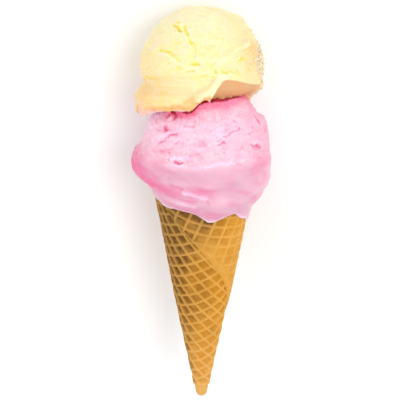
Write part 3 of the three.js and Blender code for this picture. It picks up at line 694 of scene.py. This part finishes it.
# %% The yellow scoop's torn surface
YELLOW_CRACKS = (
    ((-46, 24), (-36, 25), (-27, 21), (-20, 17)), ((-9, 15), (-2, 15)), ((-64, -4), (-54, -2)),
    ((-46, 52), (-37, 49), (-26, 45)), ((-25, 51), (-18, 43), (-11, 35)), ((19, 9), (27, 7)))
YELLOW_PITS = (((-40, 55), (-37, 55)), ((38, 17), (42, 17)), ((12, 9), (13, 8)))
YELLOW_FAINT = (((1, 5), (5, 5)), ((-23, 11), (-18, 11)), ((-11, 35), (-7, 28), (-6, 22)),
                ((46, 24), (56, 24)), ((21, 49), (23, 48)), ((-62, 41), (-52, 42)), ((22, 38), (25, 37)),
                ((-5, 68), (-2, 69)), ((-30, 34), (-24, 33)), ((4, 30), (9, 28)), ((-14, 8), (-8, 9)),
                ((30, 6), (36, 3)), ((11, 5), (14, 4)))
YELLOW_RIDGES = (((13, 13), (26, 20), (36, 26), (56, 29)), ((-48, 21), (-37, 22), (-26, 17)))
YELLOW_FOLD = (((19, 4), (13, -3), (5, -9), (-2, -12)),)
YELLOW_FOLD_SHADE = (((12, 1), (5, -5), (-3, -9)),)
YELLOW_ROLL = (((-12, -16), (-7, -13), (-2, -13), (3, -17)),)
PINK_STREAK = (((-66, -21), (-66, -32)),)
PINK_SQUEEZED = (((-66, -31), (-56, -31.5)), ((-60, -29), (-46, -28), (-38, -28)))


def make_yellow():
    """Each point is the centre plus its direction times form and relief, as for the pink scoop, with
    the band's layers, a fold, a roll and ice crystals added. Below its edge lies the flat underside,
    tinged by the pink that it melts into where the skirt is whole. The layers say where each colour
    goes: painted shade in hollows, on the sides, the roll, the undercut and along the lower edge,
    painted light and highlights, the skirt's streaks and the icy specks."""
    azimuth, elevation = scoop_grid(yellow_edge)
    form = yellow_form(azimuth, elevation)
    way = directions(azimuth, elevation)
    centre = np.array([0, 0, YELLOW_HEIGHT])
    base = centre + form[..., None] * way
    edge = yellow_edge(azimuth)
    missing = torn_share(azimuth, elevation)
    whole = 1 - missing
    crease = yellow_crease(azimuth)
    torn = ease(elevation, crease, crease + 7)
    band = (1 - torn) * whole
    quiet = 1 - spot(azimuth, elevation, (180, -5), (40, 45))
    a, e = shaken(azimuth, elevation, base, 50)
    cracks = strokes(a, e, YELLOW_CRACKS, 0.95) * broken(base, 3.2, 61)
    valleys = strokes(a, e, YELLOW_CRACKS, 3.0)
    holes = np.maximum(strokes(a, e, YELLOW_PITS, 1.2), 0.5 * torn * pits(base, 3.8, 0.3, 0.9, 55))
    faint = strokes(a, e, YELLOW_FAINT, 1.0)
    lips = strokes(a, e + 2.4, YELLOW_CRACKS, 1.5)
    ridges = strokes(a, e, YELLOW_RIDGES, 1.8) * broken(base, 5, 62)
    fold = strokes(a, e, YELLOW_FOLD, 3.4)
    shade = strokes(a, e, YELLOW_FOLD_SHADE, 1.8)
    roll = strokes(a, e, YELLOW_ROLL, 2.1)
    streak = np.maximum(strokes(a, e, PINK_STREAK, 2.0), 0.7 * strokes(a, e, PINK_SQUEEZED, 2.2))
    flakes = flake_lines(base, 3.6, 7, 53)
    layered = rough(base * np.array([0.2, 0.2, 1.5]), 3.2, 3, 58)
    far = np.hypot(turned(azimuth - 94) / 46, (elevation - 4) / 42) + 0.28 * rough(base, 7, 3, 63)
    frost = 1 - ease(far, 0.62, 1.0)
    crystals = pits(base, 1.9, 0.5, 1.1, 59) * ease(frost, 0.1, 0.7)
    depth = 0.7 * cracks + 0.3 * valleys + 0.9 * holes + 0.5 * faint + 0.4 * torn * flakes + 0.6 * shade
    uneven = torn * (0.5 * rough(base * DRAWN_OUT, 4.0, 3, 56) + 0.15 * rough(base, 1.2, 2, 57))
    fine = uneven + 0.5 * band * layered + crystals + 0.2 * missing * layered
    relief = (fine - depth + 0.35 * lips + 0.7 * ridges) * quiet + 1.5 * fold + 1.2 * roll + 0.4 * streak
    relief = relief * ease(elevation, edge, edge + 2.5)
    distance = form + relief
    below = elevation < edge - TINY
    distance = np.where(below, yellow_underside(azimuth, elevation), distance)
    # Painted shade on the undercut where the skirt is torn off.
    undercut_shade = missing * ease(yellow_cut_top(azimuth) - elevation, -0.5, 1.5) * (1 - ease(azimuth, 64, 84))
    undercut_shade = undercut_shade * (0.8 + 0.2 * (1 - ease(elevation, edge, edge + 9)))
    # Painted shade along the lower edge of the whole skirt.
    lower_edge_shade = (1 - ease(elevation, edge, edge + 5)) * whole * broken(base, 4, 66) * ~below
    low = (1 - ease(elevation, edge + 1, edge + 7)) * whole * ~below
    # Painted shade in cracks, pits, grooves and low bumps.
    hollow_shade = (0.9 * cracks + 0.25 * valleys + holes + 0.45 * faint + 0.3 * torn * flakes
              + 0.2 * ease(-uneven, 0.05, 0.8))
    # Painted shade on both sides.
    side_shade = (0.32 * hill_round(azimuth, -72, 30) * (1 - 0.8 * ease(elevation, 5, 30))
             + 0.38 * hill_round(azimuth, 58, 32) + 0.5 * spot(azimuth, elevation, (62, 22), (14, 14)))
    # Streaks of the skirt's layers, with painted shade stronger on the left.
    banded = band * (0.28 + 0.3 * ease(layered, -0.2, 0.8)) * (1 - 0.8 * ease(azimuth, -40, 0))
    # Painted shade under the torn end of the skirt.
    torn_end_shade = 0.5 * spot(azimuth, elevation, (-4, -17), (9, 4.5)) * (1 + 0.6 * rough(base, 3, 2, 65))
    # Along the lower edge, on the roll and beside the fold the colour is painted shade.
    shade_and_streaks = side_shade + banded + torn_end_shade + low + 0.9 * roll + 0.4 * shade
    # Painted light on the top.
    lit = 0.5 * ease(elevation, 20, 55) * (1 - 0.7 * ease(azimuth, 10, 70))
    # Painted highlights on the fold, ridges, lips and bumps.
    pale = lit + 0.8 * fold + 0.9 * ridges + 0.4 * lips + 0.3 * ease(uneven, 0.1, 0.8)
    layers = {
        "hollow_shade": np.clip(hollow_shade, 0, 1) * quiet,
        "shade_and_streaks": np.clip(shade_and_streaks, 0, 1),
        "pale": np.clip(pale, 0, 1),
        # Painted shade on the undercut and along the lower edge.
        "undercut_shade": np.maximum(undercut_shade, 0.7 * lower_edge_shade),
        "frost": frost * broken(base, 3, 64),
        "streak": np.where(below, whole, streak),
    }
    return grid_piece("yellow_ice_cream", centre + distance[..., None] * way, layers)


pink = make_pink()
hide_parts("pink_scoop")
yellow = make_yellow()
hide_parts("yellow_scoop")

# %% [markdown]
# ## Finishes
# The finishes are node trees. Clicking them together in the editor works well, but written out as
# sums they are easier to read, so a small class wraps a socket and turns +, - and * into Math nodes.
# One method makes every other node from its type, its settings and its inputs.


# %% A socket that can be reckoned with
class Value:
    """A float socket. Arithmetic on it adds Math nodes."""

    def __init__(self, finish, socket):
        self.finish, self.socket = finish, socket

    def _math(self, operation, first, second):
        """One Math node on the two values, in this order."""
        return self.finish.node("ShaderNodeMath", {"operation": operation}, {0: first, 1: second}).value()

    def __add__(self, other):
        """The sum, in either order."""
        return self._math("ADD", self, other)

    def __mul__(self, other):
        """The product, in either order."""
        return self._math("MULTIPLY", self, other)

    def __rsub__(self, other):
        """The other number less this value, so that 1 - mask works."""
        return self._math("SUBTRACT", other, self)

    __radd__, __rmul__ = __add__, __mul__

    def eased(self, start, end):
        """0 below start, 1 above end, smooth between."""
        return self.finish.node("ShaderNodeMapRange", {"interpolation_type": "SMOOTHSTEP"},
                                {"Value": self, "From Min": start, "From Max": end}).value("Result")


class Made:
    """A node that was made, whose outputs are asked for by name."""

    def __init__(self, finish, node):
        self.finish, self.node = finish, node

    def value(self, output=0):
        """The output of this name or number, ready to be reckoned with."""
        return Value(self.finish, self.node.outputs[output])


class Finish:
    """A material and the tools that build its node tree."""

    def __init__(self, name, **constants):
        self.material = bpy.data.materials.new(name)
        self.material.use_nodes = True
        self.tree = self.material.node_tree
        self.shader = self.tree.nodes["Principled BSDF"]
        self.set(self.shader, constants)

    def set(self, node, inputs):
        """Links each value to its socket, and writes plain numbers and colours into theirs."""
        for key, given in inputs.items():
            socket = node.inputs[key]
            if isinstance(given, Value):
                self.tree.links.new(given.socket, socket)
            else:
                socket.default_value = given

    def node(self, kind, settings, inputs):
        """A node of this kind: its settings first, then the values or links of its sockets."""
        node = self.tree.nodes.new(kind)
        for key, setting in settings.items():
            setattr(node, key, setting)
        self.set(node, inputs)
        return Made(self, node)

    def attribute(self, name):
        """The value that the mesh carries for each point under this name."""
        return self.node("ShaderNodeAttribute", {"attribute_name": name}, {}).value("Fac")

    def place(self, scale=(1000, 1000, 1000)):
        """Object coordinates in millimetres, or stretched by another scale."""
        where = self.node("ShaderNodeTexCoord", {}, {}).value("Object")
        return self.node("ShaderNodeMapping", {}, {"Vector": where, "Scale": scale}).value()

    def noise(self, where, size, detail=3.0, roughness=0.55):
        """Noise from 0 to 1 whose largest blobs are about this size in the units of where."""
        settings = {"Vector": where, "Scale": 1 / size, "Detail": detail, "Roughness": roughness}
        return self.node("ShaderNodeTexNoise", {}, settings).value("Fac")

    def mix(self, share, first, second):
        """first + share * (second - first), of two colours, each an RGB triple or a colour socket. The
        node keeps its two colours in sockets 6 and 7, and their mixture in output 2."""
        made = self.node("ShaderNodeMix", {"data_type": "RGBA"}, {"Factor": share})
        for key, given in ((6, first), (7, second)):
            self.set(made.node, {key: given if isinstance(given, Value) else (*given, 1)})
        return made.value(2)

    def bump(self, height, distance, strength=1.0, below=None):
        """A normal that tilts as if the height, times the distance in metres, stood on the surface."""
        inputs = {"Height": height, "Distance": distance, "Strength": strength}
        if below is not None:
            inputs["Normal"] = below
        return self.node("ShaderNodeBump", {}, inputs).value()


# %% [markdown]
# ### Baked wafer
# A sugar cone is browned by its sugar, and patches bake unevenly. The ridges stay golden, and the
# floors of the cells are painted darker, as the shade that falls in them. Both are painted darker still
# where shade and the scoop's shadow fall. It is dry and matt, with fine pores.

# %% Wafer finish
GOLDEN, AMBER, STRAW = (0.75, 0.38, 0.065), (0.68, 0.325, 0.04), (0.80, 0.45, 0.15)
# The brown is the ridges' colour where the bake and the painted shade are strongest.
BROWN, CARAMEL = (0.42, 0.225, 0.055), (0.42, 0.17, 0.015)
# Cell floors painted darker as shade in the cells, and darker still where painted shade and shadow fall.
SHADED_CELL_FLOOR, DARK_SHADED_FLOOR = (0.56, 0.24, 0.012), (0.13, 0.052, 0.004)


def wafer_finish():
    """Ridge colour mixed to a floor colour that is painted darker as shade in the cells, by the depth in a
    cell times an uneven noise. Both turn from golden to brown by the uneven bake and by painted shade
    and shadow, and freckles of caramel lie over them."""
    finish = Finish("baked_wafer", **{"Subsurface Weight": 0.15, "Subsurface Scale": 1.0,
                                      "Subsurface Radius": (0.0012, 0.0006, 0.0003),
                                      "Specular IOR Level": 0.2})
    where = finish.place()
    cells, bake_and_shade = finish.attribute("cell_depth"), finish.attribute("bake_and_shade")
    patches = finish.noise(where, 14, 3)
    grain = finish.noise(where, 1.1, 4, 0.7)
    speckle = finish.noise(where, 0.45, 2, 0.6)
    pale = finish.attribute("pale")
    golden = finish.mix(patches.eased(0.35, 0.68), GOLDEN, AMBER)
    golden = finish.mix(pale * 0.65, golden, STRAW)
    # Ridges turn brown by the bake together with painted shade and shadow.
    ridge = finish.mix(bake_and_shade * 0.9, golden, BROWN)
    # Floors painted darker, as shade in the cells.
    floor = finish.mix(bake_and_shade.eased(0, 0.72), SHADED_CELL_FLOOR, DARK_SHADED_FLOOR)
    uneven = finish.noise(where, 2.6, 4, 0.65)
    share = cells * (0.95 - 0.3 * pale) * (0.55 + uneven * 0.8)
    baked = finish.mix(share, ridge, floor)
    freckled = finish.mix(grain.eased(0.52, 0.75) * 0.3, baked, CARAMEL)
    coarse = finish.bump(grain, 0.0004, 0.5)
    fine = finish.bump(speckle, 0.0002, 0.4, coarse)
    finish.set(finish.shader, {"Base Color": freckled, "Normal": fine, "Roughness": 0.55 + grain * 0.25})
    return finish.material


cone.data.materials.append(wafer_finish())

# %% [markdown]
# ### Ice cream
# Ice cream is a foam of fat, air and ice, so light sinks in and comes back softened and coloured:
# lit crowns are nearly white and hollows glow deep pink or gold. Subsurface scattering does the
# softening. The values that the surface carries paint light and shade on top of it: painted shade
# deepens the colour in cracks, on the sides and on low folds, painted highlights lighten ridges and
# crowns, and a painted shadow lies below the yellow scoop's rim.


# %% What both ice creams share
def ice_cream(name, scatter):
    """A finish that light enters, to come out this far away, in metres of red, green and blue."""
    return Finish(name, **{"Subsurface Weight": 0.6, "Subsurface Radius": scatter,
                           "Subsurface Scale": 1.0, "Specular IOR Level": 0.25})


def grained(finish, where, colour):
    """The material in this colour. A noise of 0.9 mm tilts its normal and adds 0.3 times itself to a
    roughness of 0.4."""
    grain = finish.noise(where, 0.9, 3, 0.65)
    normal = finish.bump(grain, 0.0003, 0.4)
    finish.set(finish.shader, {"Base Color": colour, "Normal": normal, "Roughness": 0.4 + grain * 0.3})
    return finish.material


# %% Pink finish
PINK, LIGHT_PINK, WARM_PINK = (0.88, 0.50, 0.61), (0.89, 0.57, 0.66), (0.86, 0.40, 0.54)
# The deep pink is painted shade and smears, the muted pink painted shade on the lower half, and the pale pink
# pale rims and painted highlights.
LOWER_SHADE_PINK, DEEP_PINK, PALE_PINK = (0.64, 0.34, 0.455), (0.80, 0.14, 0.32), (0.94, 0.71, 0.90)
# The hollow pink is painted shade in hollows; the last two are the painted shadow below the yellow scoop's
# rim.
HOLLOW_SHADE_PINK, OVERHANG_SHADOW_PINK, CONTACT_SHADOW_RED = (0.80, 0.10, 0.29), (0.92, 0.17, 0.33), (0.40, 0.02, 0.04)


def pink_finish():
    """A light pink with soft patches, mixed in turn to its colours for painted shade on the lower half,
    painted shade and smears, pale rims and painted highlights, and painted shade in hollows, by the
    values that the surface carries, and to a painted shadow in deep pink and red below the other
    scoop's rim."""
    finish = ice_cream("strawberry", (0.005, 0.002, 0.0024))
    where = finish.place()
    patches = finish.noise(where, 7, 3)
    mottled = finish.noise(where, 2.4, 4, 0.65)
    contact_shadow = finish.attribute("contact_shadow")
    colour = finish.mix(patches.eased(0.3, 0.7), PINK, LIGHT_PINK)
    colour = finish.mix(mottled.eased(0.48, 0.72) * 0.4, colour, WARM_PINK)
    # Painted shade on the lower half.
    colour = finish.mix(finish.attribute("lower_shade_and_smears"), colour, LOWER_SHADE_PINK)
    # Painted shade and smears deepen the colour.
    colour = finish.mix(finish.attribute("shade_and_streaks"), colour, DEEP_PINK)
    # Pale rims, painted highlights and painted light.
    colour = finish.mix(finish.attribute("pale") * 0.7, colour, PALE_PINK)
    # Painted shade deepens the colour in hollows.
    colour = finish.mix(finish.attribute("hollow_shade").eased(0.05, 1.0) * 0.85, colour, HOLLOW_SHADE_PINK)
    # Painted shadow below the yellow scoop's rim: deep pink, then a dark red line.
    colour = finish.mix(contact_shadow.eased(0.0, 0.6) * 0.8, colour, OVERHANG_SHADOW_PINK)
    colour = finish.mix(contact_shadow.eased(0.6, 0.98), colour, CONTACT_SHADOW_RED)
    return grained(finish, where, colour)


pink.data.materials.append(pink_finish())

# %% Yellow finish
YELLOW, LIGHT_YELLOW = (0.90, 0.78, 0.36), (0.90, 0.79, 0.52)
# The deep yellow is painted shade and the skirt's streaks, the pale yellow painted highlights, and the hollow
# yellow painted shade in hollows.
DEEP_YELLOW, PALE_YELLOW, HOLLOW_SHADE_YELLOW = (0.90, 0.54, 0.22), (0.92, 0.85, 0.64), (0.94, 0.73, 0.05)
SHADED_YELLOW, MELTED_PINK = (0.66, 0.32, 0.14), (0.93, 0.58, 0.70)
# Ice crystals; the darker gaps also stand in for the shade on the right rim.
FROST_GAP, FROST_SPECK = (0.52, 0.38, 0.21), (0.90, 0.83, 0.67)


def yellow_finish():
    """A light yellow with soft patches, mixed in turn to its colours for painted shade and streaks,
    painted highlights, painted shade in hollows and painted shade on the undercut and lower edge, by
    the values that the surface carries, then to icy specks and to the pink streak."""
    finish = ice_cream("vanilla", (0.005, 0.0035, 0.0012))
    where = finish.place()
    patches = finish.noise(where, 3.6, 4, 0.6)
    specks = finish.noise(where, 1.3, 2, 0.6)
    icy = finish.mix(specks.eased(0.44, 0.62), FROST_GAP, FROST_SPECK)
    colour = finish.mix(patches.eased(0.32, 0.68), YELLOW, LIGHT_YELLOW)
    # Painted shade and the skirt's streaks deepen the colour.
    colour = finish.mix(finish.attribute("shade_and_streaks"), colour, DEEP_YELLOW)
    # Painted light and highlights.
    colour = finish.mix(finish.attribute("pale") * 0.7, colour, PALE_YELLOW)
    # Painted shade deepens the colour in hollows.
    colour = finish.mix(finish.attribute("hollow_shade").eased(0.05, 1.0) * 0.85, colour, HOLLOW_SHADE_YELLOW)
    # Painted shade on the undercut and along the lower edge.
    colour = finish.mix(finish.attribute("undercut_shade"), colour, SHADED_YELLOW)
    # Ice crystals; the darker gaps also stand in for the shade on the right rim.
    colour = finish.mix(finish.attribute("frost"), colour, icy)
    colour = finish.mix(finish.attribute("streak") * 0.8, colour, MELTED_PINK)
    return grained(finish, where, colour)


yellow.data.materials.append(yellow_finish())

# %% [markdown]
# ## Floor, light and camera
# The cone lies on a plain white table in soft studio light. A large panel above is the main light, a
# weak one on the left and a white world fill the shadows. The camera looks down on its front from a
# little beyond the scoops, so that they look round and the cone runs away from them.

# %% Floor
FLOOR_HALF = 3.0


def make_floor():
    """One square at height 0, under everything, whose corners lie at plus and minus half its width."""
    mesh = bpy.data.meshes.new("table")
    corners = [(x * FLOOR_HALF, y * FLOOR_HALF, 0) for x, y in ((-1, -1), (1, -1), (1, 1), (-1, 1))]
    mesh.from_pydata(corners, [], [(0, 1, 2, 3)])
    floor = bpy.data.objects.new("table", mesh)
    bpy.context.scene.collection.objects.link(floor)
    finish = Finish("table_white", **{"Base Color": (0.94, 0.94, 0.94, 1), "Roughness": 0.9,
                                      "Specular IOR Level": 0.1})
    mesh.materials.append(finish.material)


make_floor()


# %% Light
ROOM_LIGHT = 0.9


def add_panel(name, place, aim, size, power):
    """A round white lamp of this diameter and power in watts, turned from its place to the aim."""
    light = bpy.data.lights.new(name, "AREA")
    light.shape, light.size, light.energy = "DISK", size, power
    panel = bpy.data.objects.new(name, light)
    bpy.context.scene.collection.objects.link(panel)
    panel.location = place
    panel.rotation_euler = (Vector(aim) - Vector(place)).to_track_quat("-Z", "Y").to_euler()


add_panel("key_panel", place=(0.32, 0.30, 0.80), aim=(0, 0.02, 0.03), size=0.45, power=2.8)
add_panel("fill_panel", place=(-0.45, -0.15, 0.42), aim=(0, 0.05, 0.03), size=0.35, power=0.44)
world = bpy.data.worlds.new("white_room")
world.use_nodes = True
world.node_tree.nodes["Background"].inputs["Color"].default_value = (1, 1, 1, 1)
world.node_tree.nodes["Background"].inputs["Strength"].default_value = ROOM_LIGHT
bpy.context.scene.world = world
bpy.context.scene.view_settings.view_transform = "Standard"

# %% Camera
CAMERA_DISTANCE = 560.0
CAMERA_RISE = math.radians(19.5)
AIM_HEIGHT = 124.4
CAMERA_SIDE = -0.85
FOCAL = 90.0
SENSOR = 36.0


def add_camera():
    """The camera's place is a point beside the cone's axis plus the distance times the direction out of
    its front, raised towards the scoops. Place and axes are laid down with the cone."""
    camera = bpy.data.objects.new("camera", bpy.data.cameras.new("camera"))
    bpy.context.scene.collection.objects.link(camera)
    camera.data.sensor_width, camera.data.lens = SENSOR, FOCAL
    out = Vector((0, -math.cos(CAMERA_RISE), math.sin(CAMERA_RISE)))
    up = Vector((0, math.sin(CAMERA_RISE), math.cos(CAMERA_RISE)))
    place = Vector((CAMERA_SIDE, 0, AIM_HEIGHT)) + out * CAMERA_DISTANCE
    turning = turn_down.to_3x3()
    right = Vector((1, 0, 0))
    axes = Matrix((turning @ right, turning @ up, turning @ out)).transposed()
    camera.matrix_world = Matrix.Translation(Vector(lay(np.array(place)))) @ axes.to_4x4()
    camera.data.clip_start, camera.data.clip_end = 0.05, 20
    bpy.context.scene.camera = camera


add_camera()
